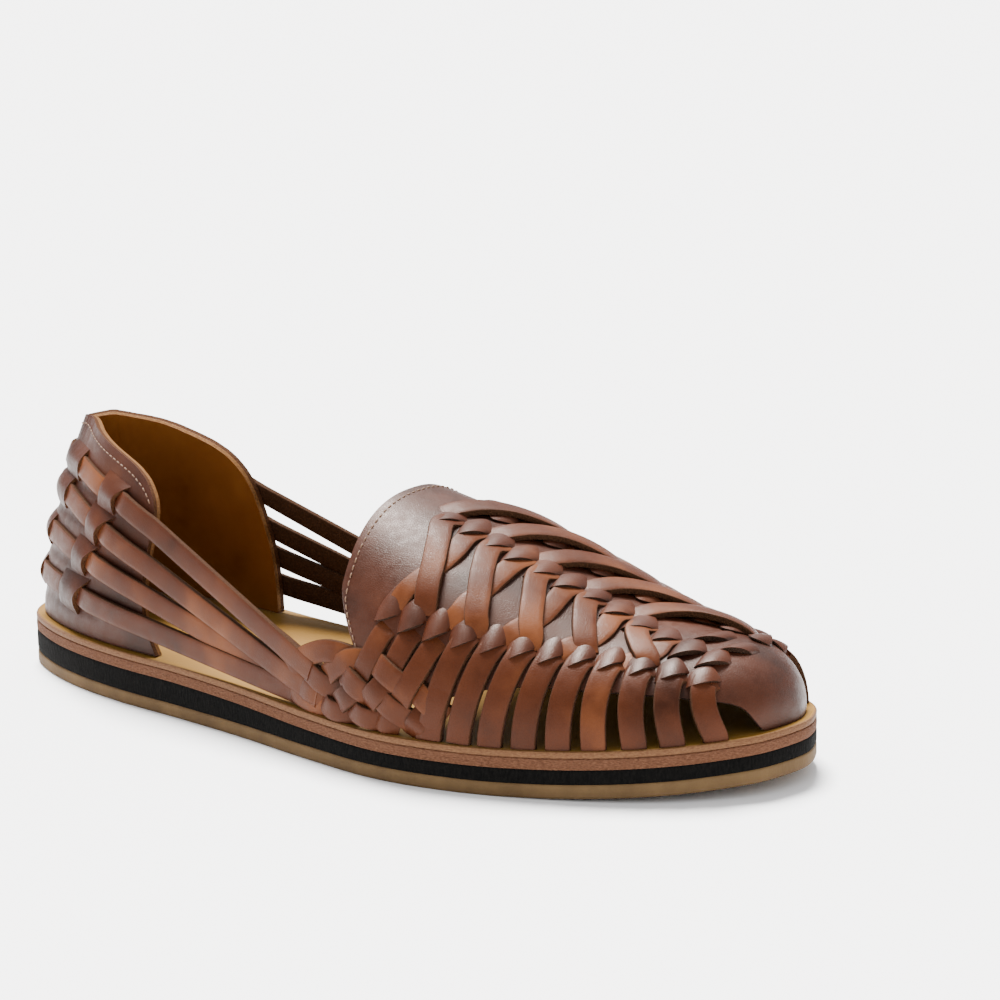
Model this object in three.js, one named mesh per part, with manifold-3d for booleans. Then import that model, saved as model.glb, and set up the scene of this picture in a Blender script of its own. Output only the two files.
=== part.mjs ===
// Huarache sandal, right foot: a woven leather upper and a lined heel counter
// on a flat sole built up from four layers.
// Millimetres. X runs from heel to toe, the lateral side is at -Y, Z is up.
// Stations are distances forward of the heel's back edge.
import * as THREE from 'three';
import Module from 'manifold-3d';

const wasm = await Module();
wasm.setup();

// ---- driving dimensions ---------------------------------------------------

const LENGTH = 295;            // sole, heel to toe
const HEEL_BACK_Y = 1;         // the heel's rearmost point
const TOE_TIP_Y = 13;          // the toe's foremost point, on the big toe's side
const Y_SHIFT = 2.15;          // puts the middle of the width on the X axis
const GAP = 0.3;               // between pieces that meet

const GUM = 4.3;               // outsole sheet
const WEDGE_HEEL = 7.4;        // rubber midsole under the heel
const WEDGE_BALL = 4.5;        // and from the ball forward
const WEDGE_FROM = 80;         // stations between which the wedge thins
const WEDGE_TO = 190;
const LEATHER = 3.6;           // leather midsole
const INSOLE = 2.1;
const SPRING = 4.8;            // toe spring
const SPRING_FROM = 215;       // station where the sole leaves the floor

const MARGIN = 3;              // bare insole outside the upper
const WALL = 2.2;              // woven vamp
const FULLNESS = 2.4;          // exponent of the upper's sections, 2 is an ellipse
const CROWN_SKEW = 4;          // the ridge lies this far medial of the middle
const TOE_ROUND = 32;          // length of the toe's rounded drop
const TOE_POWER = 2.2;

const STRAP_WIDTH = 7.6;
const STRAP_PROUD = 1.0;       // strap faces, above and below the upper's surface
const STRAP_DEEP = 0.9;
const STRAP_COUNT = 12;        // on each side of the vamp

const COUNTER_WALL = 3;        // counter leather and its lining
const COUNTER_MARGIN = 3;
const LEAN_BACK = 16.6;        // how far the counter leans in at LEAN_HEIGHT
const LEAN_SIDE = 11.8;
const LEAN_HEIGHT = 60;
const LEAN_POWER = 1.75;

// The sole's outline: station, lateral edge, medial edge.
const OUTLINE = [
  { s: 6, lateral: -14.5, medial: 16.5 },
  { s: 20, lateral: -24.5, medial: 28.5 },
  { s: 40, lateral: -32.5, medial: 34 },
  { s: 65, lateral: -38, medial: 34.2 },
  { s: 95, lateral: -41.5, medial: 30 },
  { s: 125, lateral: -45.8, medial: 29.2 },
  { s: 155, lateral: -51.5, medial: 34.8 },
  { s: 185, lateral: -55.3, medial: 43.2 },
  { s: 212, lateral: -52.2, medial: 49.8 },
  { s: 238, lateral: -43.8, medial: 51 },
  { s: 258, lateral: -34.4, medial: 48 },
  { s: 274, lateral: -23.6, medial: 42.2 },
  { s: 286, lateral: -11.2, medial: 33 },
  { s: 292, lateral: -1.5, medial: 24 },
];

// The last's height above the insole along the ridge, before the toe rounds off.
const RIDGE = [
  { s: 130, height: 70 },
  { s: 150, height: 66.5 },
  { s: 165, height: 62.6 },
  { s: 180, height: 58.4 },
  { s: 195, height: 53.3 },
  { s: 210, height: 47.2 },
  { s: 225, height: 39.8 },
  { s: 240, height: 33 },
  { s: 255, height: 27.9 },
  { s: 270, height: 25 },
  { s: 295, height: 24.5 },
];

// The vamp's lower edge: station and angle round the section, 0 at the insole
// and 90 on the ridge. It is the same on both sides.
const VAMP_EDGE = [
  { s: 166, angle: 27 },
  { s: 172, angle: 22 },
  { s: 180, angle: 22 },
  { s: 195, angle: 23 },
  { s: 215, angle: 25 },
  { s: 235, angle: 29 },
  { s: 255, angle: 32 },
  { s: 270, angle: 32 },
  { s: 280, angle: 24 },
  { s: 285, angle: 15 },
  { s: 288.5, angle: 1 },
  { s: 292, angle: 0 },
];

// The braid's upper edge at the waist, in the same terms.
const BRAID_EDGE = [
  { s: 139, angle: 8 },
  { s: 147, angle: 12.5 },
  { s: 158, angle: 17 },
  { s: 170, angle: 21 },
  { s: 182, angle: 26 },
  { s: 194, angle: 22 },
  { s: 204, angle: 11 },
  { s: 213, angle: 4 },
];

// Forefoot straps, from where they leave the vamp to where they meet the insole.
const STRAPS = [
  { top: 184, foot: 171 },
  { top: 193, foot: 179 },
  { top: 201.5, foot: 188 },
  { top: 210, foot: 198 },
  { top: 218.5, foot: 209 },
  { top: 226.5, foot: 220.5 },
  { top: 234.3, foot: 231.5 },
  { top: 242.4, foot: 241.6 },
  { top: 250.3, foot: 250.9 },
  { top: 258.6, foot: 261.2 },
  { top: 267, foot: 270.3 },
  { top: 274.8, foot: 279.5 },
];

// Rear straps: arc along the outline and height above the insole where each
// leaves the counter, then station and height where it enters the braid.
const REAR_STRAPS = [
  { arc: 73.5, rise: 47, station: 150, height: 16 },
  { arc: 67, rise: 36, station: 152, height: 8 },
  { arc: 62, rise: 25.5, station: 152, height: 5.2 },
  { arc: 58, rise: 13, station: 152, height: 3.6 },
];

// The counter's rim: share of the way from the back to the front edge, height.
const RIM = [
  { share: 0, height: 66.8 },
  { share: 0.14, height: 67.6 },
  { share: 0.26, height: 68.2 },
  { share: 0.41, height: 66.6 },
  { share: 0.59, height: 64.2 },
  { share: 0.79, height: 59.9 },
  { share: 0.87, height: 57.2 },
  { share: 0.92, height: 54.6 },
  { share: 0.967, height: 50.5 },
  { share: 0.99, height: 46.5 },
  { share: 1, height: 43 },
];

// The counter's front edge: arc along the outline on each side, by height.
const FRONT = [
  { rise: 0, lateral: 97.5, medial: 97 },
  { rise: 5, lateral: 94.5, medial: 97 },
  { rise: 12, lateral: 91, medial: 97 },
  { rise: 24, lateral: 89.6, medial: 96.5 },
  { rise: 36, lateral: 90.4, medial: 94.5 },
  { rise: 46, lateral: 91.2, medial: 92.6 },
];

// ---- curves and sections ----------------------------------------------------

function smooth(t) {
  const u = THREE.MathUtils.clamp(t, 0, 1);
  return u * u * (3 - 2 * u);
}

// A function through a table's rows by a Catmull-Rom curve over key and value.
function through(rows, key, value) {
  const points = rows.map((row) => new THREE.Vector3(row[key], row[value], 0));
  const curve = new THREE.CatmullRomCurve3(points, false, 'catmullrom', 0.5);
  const line = curve.getPoints(16 * (rows.length - 1));
  return (at) => {
    const x = THREE.MathUtils.clamp(at, line[0].x, line[line.length - 1].x);
    let i = 1;
    while (i < line.length - 1 && line[i].x < x) i += 1;
    const share = (x - line[i - 1].x) / (line[i].x - line[i - 1].x || 1);
    return line[i - 1].y + share * (line[i].y - line[i - 1].y);
  };
}

const ridgeHeight = through(RIDGE, 's', 'height');
const vampEdge = through(VAMP_EDGE, 's', 'angle');
const braidEdge = through(BRAID_EDGE, 's', 'angle');
const rimHeight = through(RIM, 'share', 'height');
const frontArc = { lateral: through(FRONT, 'rise', 'lateral'), medial: through(FRONT, 'rise', 'medial') };

function spring(s) {
  const u = Math.max(0, (s - SPRING_FROM) / (LENGTH - SPRING_FROM));
  return SPRING * u * u;
}

function wedge(s) {
  const thin = smooth((s - WEDGE_FROM) / (WEDGE_TO - WEDGE_FROM));
  return THREE.MathUtils.lerp(WEDGE_HEEL, WEDGE_BALL, thin);
}

const gumTop = (s) => spring(s) + GUM;
const wedgeTop = (s) => gumTop(s) + wedge(s);
const leatherTop = (s) => wedgeTop(s) + LEATHER;
const insoleTop = (s) => leatherTop(s) + INSOLE;

// The outline as a closed ring: heel, lateral side, toe, medial side.
function outlineRing(perSpan) {
  const lateral = OUTLINE.map((row) => new THREE.Vector3(row.s, row.lateral, 0));
  const medial = OUTLINE.map((row) => new THREE.Vector3(row.s, row.medial, 0));
  const heel = new THREE.Vector3(0, HEEL_BACK_Y, 0);
  const toe = new THREE.Vector3(LENGTH, TOE_TIP_Y, 0);
  const points = [heel, ...lateral, toe, ...medial.reverse()];
  const curve = new THREE.CatmullRomCurve3(points, true, 'catmullrom', 0.5);
  return curve.getPoints(perSpan * points.length).slice(0, -1);
}

const RING = outlineRing(12);
const RING_NORMALS = RING.map((p, i) => {
  const before = RING[(i + RING.length - 1) % RING.length];
  const after = RING[(i + 1) % RING.length];
  const along = after.clone().sub(before).normalize();
  return new THREE.Vector3(along.y, -along.x, 0);
});
const RING_ARCS = [0];
for (let i = 1; i <= RING.length; i += 1) {
  RING_ARCS.push(RING_ARCS[i - 1] + RING[i % RING.length].distanceTo(RING[i - 1]));
}
const RING_TOTAL = RING_ARCS[RING.length];

// The way the counter leans in at each point: the normals averaged either side,
// which keeps its back round.
const LEAN_SPAN = 30;
const RING_LEANS = RING.map((_, i) => {
  const sum = new THREE.Vector3();
  let weight = 0;
  for (let k = 0; k < RING.length; k += 1) {
    const apart = Math.abs(RING_ARCS[k] - RING_ARCS[i]);
    if (Math.min(apart, RING_TOTAL - apart) <= LEAN_SPAN) {
      const share = RING_ARCS[k + 1] - RING_ARCS[k];
      sum.addScaledVector(RING_NORMALS[k], share);
      weight += share;
    }
  }
  return sum.divideScalar(weight);
});

// The outline moved inward, as its lateral and medial edges over the station.
const insetCache = new Map();
function insetEdges(inset) {
  const key = inset.toFixed(3);
  if (!insetCache.has(key)) {
    const moved = RING.map((p, i) => p.clone().addScaledVector(RING_NORMALS[i], -inset));
    const half = RING.length / 2;
    insetCache.set(key, [moved.slice(0, half + 1), [...moved.slice(half), moved[0]].reverse()]);
  }
  return insetCache.get(key);
}

function edgeAt(line, s) {
  let i = 1;
  while (i < line.length - 1 && line[i].x < s) i += 1;
  const share = THREE.MathUtils.clamp((s - line[i - 1].x) / (line[i].x - line[i - 1].x || 1), 0, 1);
  return THREE.MathUtils.lerp(line[i - 1].y, line[i].y, share);
}

// A point of the upper's surface. Across each station the section is a
// superellipse from the lateral to the medial edge of the inset outline, over
// a ridge whose height drops as a quarter of a superellipse at the toe.
// depth is how far the surface lies inside the outer one.
function last(station, degrees, depth) {
  const inset = MARGIN + depth;
  const tip = LENGTH - inset;
  const outerTip = LENGTH - MARGIN;
  const bend = outerTip - 2 * TOE_ROUND;
  const stretch = Math.max(0, station - bend) / (outerTip - bend);
  const s = station - depth * stretch;
  const [lateralLine, medialLine] = insetEdges(inset);
  const lateral = edgeAt(lateralLine, s);
  const medial = edgeAt(medialLine, s);
  const skew = CROWN_SKEW * THREE.MathUtils.clamp((tip - s) / 60, 0, 1);
  const crown = (lateral + medial) / 2 + skew;
  const fall = THREE.MathUtils.clamp((s - (tip - TOE_ROUND)) / TOE_ROUND, 0, 1);
  const round = Math.sqrt(Math.max(0, 1 - fall ** TOE_POWER));
  const height = (ridgeHeight(s) - depth) * round;
  const angle = THREE.MathUtils.degToRad(degrees);
  const out = Math.abs(Math.cos(angle)) ** (2 / FULLNESS);
  const up = Math.abs(Math.sin(angle)) ** (2 / FULLNESS);
  const edge = degrees < 90 ? lateral : medial;
  return new THREE.Vector3(s, crown + (edge - crown) * out, insoleTop(s) + height * up);
}

// A point of the heel counter. It follows the outline, inset by a margin that
// grows with height. arc is negative on the lateral side, 0 at the back.
function counter(arc, rise, depth) {
  const reach = Math.abs(arc);
  const along = arc <= 0 ? reach : RING_TOTAL - reach;
  let i = 1;
  while (i < RING_ARCS.length - 1 && RING_ARCS[i] < along) i += 1;
  const share = (along - RING_ARCS[i - 1]) / (RING_ARCS[i] - RING_ARCS[i - 1]);
  const a = i - 1;
  const b = i % RING.length;
  const foot = RING[a].clone().lerp(RING[b], share);
  const outward = RING_NORMALS[a].clone().lerp(RING_NORMALS[b], share).normalize();
  const leaning = RING_LEANS[a].clone().lerp(RING_LEANS[b], share);
  const lean = THREE.MathUtils.lerp(LEAN_BACK, LEAN_SIDE, smooth((reach - 15) / 45));
  const inward = lean * (Math.max(0, rise) / LEAN_HEIGHT) ** LEAN_POWER;
  const point = foot.addScaledVector(outward, -(COUNTER_MARGIN + depth)).addScaledVector(leaning, -inward);
  point.z = insoleTop(point.x) + rise;
  return point;
}

// ---- solids -----------------------------------------------------------------

function geometry(points, triangles) {
  const made = new THREE.BufferGeometry();
  made.setAttribute('position', new THREE.Float32BufferAttribute(points.flatMap((p) => p.toArray()), 3));
  made.setIndex(triangles.flat());
  made.computeVertexNormals();
  return made;
}

// A wall between an outer and an inner grid of points, closed round its rim.
// tip, when given, is the outer and inner point that the last column runs to.
function wall(outer, inner, tip) {
  const columns = outer.length;
  const rows = outer[0].length;
  const points = [...outer.flat(), ...inner.flat()];
  const o = (i, j) => i * rows + j;
  const n = (i, j) => (columns + i) * rows + j;
  const triangles = [];
  const quad = (a, b, c, d) => triangles.push([a, b, c], [a, c, d]);
  for (let i = 0; i < columns - 1; i += 1) {
    for (let j = 0; j < rows - 1; j += 1) {
      quad(o(i, j), o(i + 1, j), o(i + 1, j + 1), o(i, j + 1));
      quad(n(i, j), n(i, j + 1), n(i + 1, j + 1), n(i + 1, j));
    }
    quad(o(i, 0), n(i, 0), n(i + 1, 0), o(i + 1, 0));
    quad(o(i, rows - 1), o(i + 1, rows - 1), n(i + 1, rows - 1), n(i, rows - 1));
  }
  const end = columns - 1;
  for (let j = 0; j < rows - 1; j += 1) quad(o(0, j), o(0, j + 1), n(0, j + 1), n(0, j));
  if (tip) {
    const to = points.push(...tip) - 2;
    for (let j = 0; j < rows - 1; j += 1) {
      triangles.push([o(end, j), to, o(end, j + 1)], [n(end, j), n(end, j + 1), to + 1]);
    }
    quad(o(end, 0), n(end, 0), to + 1, to);
    quad(o(end, rows - 1), to, to + 1, n(end, rows - 1));
  } else {
    for (let j = 0; j < rows - 1; j += 1) quad(o(end, j), n(end, j), n(end, j + 1), o(end, j + 1));
  }
  return geometry(points, triangles);
}

function grid(columns, rows, at) {
  return Array.from({ length: columns + 1 }, (_, i) =>
    Array.from({ length: rows + 1 }, (__, j) => at(i / columns, j / rows)));
}

// One layer of the sole, between two heights that depend on the station.
function layer(low, high) {
  const ring = outlineRing(4);
  const half = ring.length / 2;
  const points = [];
  ring.forEach((p) => points.push(new THREE.Vector3(p.x, p.y, low(p.x))));
  ring.forEach((p) => points.push(new THREE.Vector3(p.x, p.y, high(p.x))));
  const count = ring.length;
  const triangles = [];
  for (let i = 0; i < count; i += 1) {
    const j = (i + 1) % count;
    triangles.push([i, j, count + j], [i, count + j, count + i]);
  }
  const across = (i) => (count - i) % count;
  for (let i = 0; i < half; i += 1) {
    const a = i;
    const b = i + 1;
    const c = across(b);
    const d = across(a);
    const faces = i === 0 ? [[a, b, c]] : i === half - 1 ? [[a, b, d]] : [[a, b, c], [a, c, d]];
    faces.forEach(([p, q, r]) => triangles.push([r, q, p], [count + p, count + q, count + r]));
  }
  return geometry(points, triangles);
}

// A flat strap along centre points, with the surface normal at each.
function strap(centres, normals, width, proud, deep) {
  const sides = centres.map((centre, i) => {
    const before = centres[Math.max(0, i - 1)];
    const after = centres[Math.min(centres.length - 1, i + 1)];
    const along = after.clone().sub(before).normalize();
    return normals[i].clone().cross(along).normalize().multiplyScalar(width / 2);
  });
  const edge = (lift, sign) => centres.map((centre, i) =>
    centre.clone().addScaledVector(normals[i], lift).addScaledVector(sides[i], sign));
  const outer = edge(proud, -1).map((p, i) => [p, edge(proud, 1)[i]]);
  const inner = edge(-deep, -1).map((p, i) => [p, edge(-deep, 1)[i]]);
  return wall(outer, inner);
}

function solid(made) {
  return new wasm.Manifold(new wasm.Mesh({
    numProp: 3,
    vertProperties: made.attributes.position.array,
    triVerts: new Uint32Array(made.index.array),
  }));
}

function fromSolid(joined) {
  const mesh = joined.getMesh();
  const made = new THREE.BufferGeometry();
  made.setAttribute('position', new THREE.BufferAttribute(new Float32Array(mesh.vertProperties), 3));
  made.setIndex(new THREE.BufferAttribute(new Uint32Array(mesh.triVerts), 1));
  made.computeVertexNormals();
  return made;
}

// ---- the upper ---------------------------------------------------------------

const TONGUE = 165.5;          // station of the tongue's edge
const NEAR_TIP = 291.4;        // last section before the toe's point

// The woven vamp with its tongue and toe cap, as one wall.
function vamp() {
  const column = (u) => {
    const eased = 1 - (1 - u) ** 1.6;
    return THREE.MathUtils.lerp(TONGUE, NEAR_TIP, eased);
  };
  const at = (depth) => (u, v) => {
    const s = column(u);
    const low = vampEdge(s);
    return last(s, THREE.MathUtils.lerp(low, 180 - low, v), depth);
  };
  const tipOf = (depth) => last(LENGTH - MARGIN, 0, depth);
  return wall(grid(30, 20, at(GAP)), grid(30, 20, at(GAP + WALL)), [tipOf(GAP), tipOf(GAP + WALL)]);
}

// The close braid low on one side of the waist.
const BRAID_FROM = 139;
const BRAID_TO = 213;
const BRAID_FOOT = 0;
function braid(side) {
  const at = (depth) => (u, v) => {
    const s = THREE.MathUtils.lerp(BRAID_FROM, BRAID_TO, u);
    const angle = THREE.MathUtils.lerp(BRAID_FOOT, braidEdge(s), side < 0 ? v : 1 - v);
    return last(s, side < 0 ? angle : 180 - angle, depth);
  };
  return wall(grid(14, 4, at(-0.5)), grid(14, 4, at(2)));
}

function surfaceNormal(s, degrees) {
  const step = 0.5;
  const along = last(s + step, degrees, 0).sub(last(s - step, degrees, 0));
  const around = last(s, degrees + step, 0).sub(last(s, degrees - step, 0));
  return along.cross(around).normalize();
}

// A forefoot strap from inside the vamp's edge down to the insole.
const STRAP_STEPS = 6;
const STRAP_LAP = 9;           // degrees that a strap laps over the vamp's edge
const STRAP_FOOT = 0.4;        // degrees at the insole
const FOOT_DROP = 1.5;         // run past the insole's top before it is cut there
function forefootStrap(row, side) {
  const high = vampEdge(row.top) + STRAP_LAP;
  const steps = Array.from({ length: STRAP_STEPS + 1 }, (_, i) => i / STRAP_STEPS);
  const place = (t) => {
    const angle = high * (1 - t) ** 1.5 + STRAP_FOOT;
    return [THREE.MathUtils.lerp(row.top, row.foot, t), side < 0 ? angle : 180 - angle];
  };
  const centres = steps.map((t) => last(...place(t), 0));
  const normals = steps.map((t) => surfaceNormal(...place(Math.min(t, 0.92))));
  centres[STRAP_STEPS].z -= FOOT_DROP;
  return strap(centres, normals, STRAP_WIDTH, STRAP_PROUD, STRAP_DEEP);
}

// A rear strap, flat on the counter's face and then straight to the braid.
const ON_COUNTER = [0, 0.25, 0.5];
const FREE = [0.75, 1];
const REAR_STRAP_THICK = 1.9;
const CLEAR = 0.5;             // from the counter's face to the strap's inner face
function rearStrap(row, side) {
  const lowEnd = side < 0 ? 8 : 172;
  const end = last(row.station, lowEnd, 0);
  end.z = insoleTop(row.station) + row.height;
  const centres = [];
  const normals = [];
  const start = counter(side * row.arc, row.rise, 0);
  const frontEdge = side < 0 ? frontArc.lateral(row.rise) : frontArc.medial(row.rise);
  const edge = counter(side * frontEdge, row.rise, 0);
  const fall = (edge.x - start.x) / (end.x - start.x);
  const edgeRise = THREE.MathUtils.lerp(start.z, end.z, fall) - insoleTop(edge.x);
  [...ON_COUNTER, ...FREE].forEach((t) => {
    const arc = THREE.MathUtils.lerp(row.arc, frontEdge + 2, t);
    const rise = THREE.MathUtils.lerp(row.rise, edgeRise, t);
    const here = counter(side * arc, rise, 0);
    const aside = counter(side * (arc + 1), rise, 0).sub(counter(side * (arc - 1), rise, 0));
    const upward = counter(side * arc, rise + 1, 0).sub(counter(side * arc, rise - 1, 0));
    const normal = aside.cross(upward).multiplyScalar(-side).normalize();
    if (normal.y * side < 0) normal.negate();
    centres.push(here.addScaledVector(normal, CLEAR + REAR_STRAP_THICK / 2));
    normals.push(normal);
  });
  const from = centres[centres.length - 1];
  const fromNormal = normals[normals.length - 1];
  const endNormal = surfaceNormal(row.station, lowEnd);
  [0.2, 0.4, 0.6, 0.8, 1, 1.15].forEach((t) => {
    centres.push(from.clone().lerp(end, t));
    normals.push(fromNormal.clone().lerp(endNormal, Math.min(1, t)).normalize());
  });
  return strap(centres, normals, STRAP_WIDTH, REAR_STRAP_THICK / 2, REAR_STRAP_THICK / 2);
}

function upper() {
  let joined = solid(vamp());
  [-1, 1].forEach((side) => {
    joined = joined.add(solid(braid(side)));
    STRAPS.forEach((row) => {
      joined = joined.add(solid(forefootStrap(row, side)));
    });
    REAR_STRAPS.forEach((row) => {
      joined = joined.add(solid(rearStrap(row, side)));
    });
  });
  const sole = layer(() => 0, (s) => insoleTop(s) + GAP);
  return fromSolid(joined.subtract(solid(sole)));
}

function heelCounter() {
  const at = (depth) => (u, v) => {
    const share = 2 * u - 1;
    const rise = THREE.MathUtils.lerp(GAP, rimHeight(Math.abs(share)), v);
    const front = share > 0 ? frontArc.lateral(rise) : frontArc.medial(rise);
    return counter(-share * front, rise, depth);
  };
  return wall(grid(44, 10, at(0)), grid(44, 10, at(COUNTER_WALL)));
}

// ---- the sandal ----------------------------------------------------------------

const FINISH = {
  gum: { color: 0x9a7b4f, roughness: 0.75 },
  rubber: { color: 0x24211f, roughness: 0.9 },
  edge: { color: 0xa67a5e, roughness: 0.85 },
  tan: { color: 0xc79f63, roughness: 0.6 },
  brown: { color: 0x6f4230, roughness: 0.5 },
};

const sandal = new THREE.Group();
function piece(name, made, finish) {
  const mesh = new THREE.Mesh(made, new THREE.MeshStandardMaterial({ ...finish, metalness: 0 }));
  mesh.name = name;
  mesh.position.set(-LENGTH / 2, Y_SHIFT, 0);
  sandal.add(mesh);
}

const shave = GAP / 2;
piece('outsole', layer(spring, (s) => gumTop(s) - shave), FINISH.gum);
piece('midsole_wedge', layer((s) => gumTop(s) + shave, (s) => wedgeTop(s) - shave), FINISH.rubber);
piece('leather_midsole', layer((s) => wedgeTop(s) + shave, (s) => leatherTop(s) - shave), FINISH.edge);
piece('insole', layer((s) => leatherTop(s) + shave, insoleTop), FINISH.tan);
piece('upper', upper(), FINISH.brown);
piece('heel_counter', heelCounter(), FINISH.brown);

export default sandal;
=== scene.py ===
import bmesh
import bpy
import numpy as np
from mathutils import Matrix, Vector


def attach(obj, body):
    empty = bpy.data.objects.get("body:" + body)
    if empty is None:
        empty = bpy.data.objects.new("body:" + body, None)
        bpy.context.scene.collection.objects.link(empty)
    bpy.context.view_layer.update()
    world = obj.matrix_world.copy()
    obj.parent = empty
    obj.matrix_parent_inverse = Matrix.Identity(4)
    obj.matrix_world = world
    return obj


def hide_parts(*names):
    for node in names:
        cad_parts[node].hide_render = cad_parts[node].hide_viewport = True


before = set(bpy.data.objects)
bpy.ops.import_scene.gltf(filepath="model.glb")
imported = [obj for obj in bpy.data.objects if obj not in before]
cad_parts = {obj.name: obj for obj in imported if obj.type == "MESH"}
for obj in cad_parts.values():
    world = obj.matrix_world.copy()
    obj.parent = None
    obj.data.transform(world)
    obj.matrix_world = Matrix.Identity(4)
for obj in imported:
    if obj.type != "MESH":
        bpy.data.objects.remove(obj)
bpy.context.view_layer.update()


# ---- Outsole ----------------------------------------------------------------
# A sheet of light brown gum rubber, 4.3 mm thick, cut to the sole's outline and
# cemented under the wedge. Its ground edge is slightly rounded top and bottom.

LENGTH = 295.0
OUTLINE = np.array([  # station from the heel, lateral edge, medial edge
    (6, -14.5, 16.5), (20, -24.5, 28.5), (40, -32.5, 34), (65, -38, 34.2), (95, -41.5, 30),
    (125, -45.8, 29.2), (155, -51.5, 34.8), (185, -55.3, 43.2), (212, -52.2, 49.8),
    (238, -43.8, 51), (258, -34.4, 48), (274, -23.6, 42.2), (286, -11.2, 33), (292, -1.5, 24)])
HEEL_BACK = (0, 1.0)
TOE_TIP = (LENGTH, 13.0)


def catmull(points, per_span, closed=False):
    """Uniform Catmull-Rom: each span is the cubic through its two ends whose slopes
    there are half the chord between the neighbours on either side."""
    p = np.asarray(points, float)
    n = len(p)
    spans = np.arange(n if closed else n - 1)
    if closed:
        a, b, c, d = (p[(spans + k) % n] for k in (-1, 0, 1, 2))
    else:
        q = np.vstack([2 * p[0] - p[1], p, 2 * p[-1] - p[-2]])
        a, b, c, d = (q[spans + k] for k in (0, 1, 2, 3))
    t = np.linspace(0, 1, per_span, endpoint=False)[None, :, None]
    a, b, c, d = (k[:, None, :] for k in (a, b, c, d))
    line = 0.5 * (2 * b + (c - a) * t + (2 * a - 5 * b + 4 * c - d) * t ** 2
                  + (3 * b - a - 3 * c + d) * t ** 3)
    line = line.reshape(-1, p.shape[1])
    return line if closed else np.vstack([line, p[-1]])


def smooth(t):
    """3t2 - 2t3, held at 0 and 1 outside."""
    t = np.clip(t, 0, 1)
    return t * t * (3 - 2 * t)


def spring(s):
    """Toe spring: 4.8 mm at the toe, growing with the square of the way from station 215."""
    return 4.8 * (np.clip((s - 215) / 80, 0, 1)) ** 2


def gum_top(s):
    """The outsole's top is 4.3 mm above its underside."""
    return spring(s) + 4.3


RING = catmull([HEEL_BACK, *OUTLINE[:, :2], TOE_TIP, *OUTLINE[::-1, [0, 2]]], 12, closed=True)
RING_TANGENT = np.roll(RING, -1, 0) - np.roll(RING, 1, 0)
RING_TANGENT /= np.linalg.norm(RING_TANGENT, axis=1)[:, None]
RING_OUT = np.stack([RING_TANGENT[:, 1], -RING_TANGENT[:, 0]], 1)


def to_frame(points):
    """Millimetres from the heel's back to metres about the middle of the footprint."""
    return (np.asarray(points, float).reshape(-1, 3) + (-LENGTH / 2, 2.15, 0)) * 0.001


def add_object(name, points, faces, material, sharp=40, **layers):
    """One mesh from points in millimetres and a list of faces, with a float layer on the
    points for each further array. Points that coincide, as at the toe's tip, are welded."""
    mesh = bpy.data.meshes.new(name)
    mesh.from_pydata(to_frame(points).tolist(), [], [list(f) for f in faces])
    for key, values in layers.items():
        values = np.asarray(values, np.float32)
        if values.ndim > 1:
            mesh.attributes.new(key, 'FLOAT_VECTOR', 'POINT').data.foreach_set('vector', values.ravel())
        else:
            mesh.attributes.new(key, 'FLOAT', 'POINT').data.foreach_set('value', values)
    shape = bmesh.new()
    shape.from_mesh(mesh)
    bmesh.ops.remove_doubles(shape, verts=shape.verts, dist=2e-7)
    shape.to_mesh(mesh)
    shape.free()
    mesh.shade_smooth()
    mesh.set_sharp_from_angle(angle=np.radians(sharp))
    mesh.materials.append(material)
    made = bpy.data.objects.new(name, mesh)
    bpy.context.scene.collection.objects.link(made)
    return made


def grid_faces(rows, columns, start=0, flip=False, wrap=False):
    """The quads of a grid of points stored row by row."""
    i = np.arange(rows - 1)[:, None] * columns
    j = np.arange(columns if wrap else columns - 1)[None, :]
    k = (j + 1) % columns
    quads = np.stack([i + j, i + k, i + columns + k, i + columns + j], -1).reshape(-1, 4) + start
    return (quads[:, ::-1] if flip else quads).tolist()


def sole_layer(low, high, profile):
    """A closed layer of the sole. Its side follows the outline at each row of the profile,
    which gives the share of the height and the inset, and its faces are strips across."""
    count = len(RING)
    rows = []
    for share, inset in profile:
        ring = RING - RING_OUT * inset
        s = ring[:, 0]
        rows.append(np.column_stack([ring, low(s) + (high(s) - low(s)) * share]))
    points = np.concatenate(rows)
    faces = grid_faces(len(profile), count, wrap=True)
    last = (len(profile) - 1) * count
    for i in range(count // 2):
        strip = [i, i + 1, (count - i - 1) % count, (count - i) % count]
        strip = list(dict.fromkeys(strip))
        faces.append(strip[::-1])
        faces.append([last + k for k in strip])
    return points, faces


def new_material(name, roughness, specular=0.5):
    """A Principled material with its roughness and specular level set, returned with its tree and its
    shader.
    """
    material = bpy.data.materials.new(name)
    material.use_nodes = True
    tree = material.node_tree
    shader = tree.nodes['Principled BSDF']
    shader.inputs['Roughness'].default_value = roughness
    shader.inputs['Specular IOR Level'].default_value = specular
    return material, tree, shader


def add_node(tree, kind, settings=None, **links):
    """A node with its settings, and its inputs linked or set by name."""
    node = tree.nodes.new(kind)
    for key, value in (settings or {}).items():
        setattr(node, key, value)
    for key, value in links.items():
        socket = node.inputs[int(key[1:])] if key[0] == '_' else node.inputs[key]
        if isinstance(value, bpy.types.NodeSocket):
            tree.links.new(value, socket)
        else:
            socket.default_value = value
    return node


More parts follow.
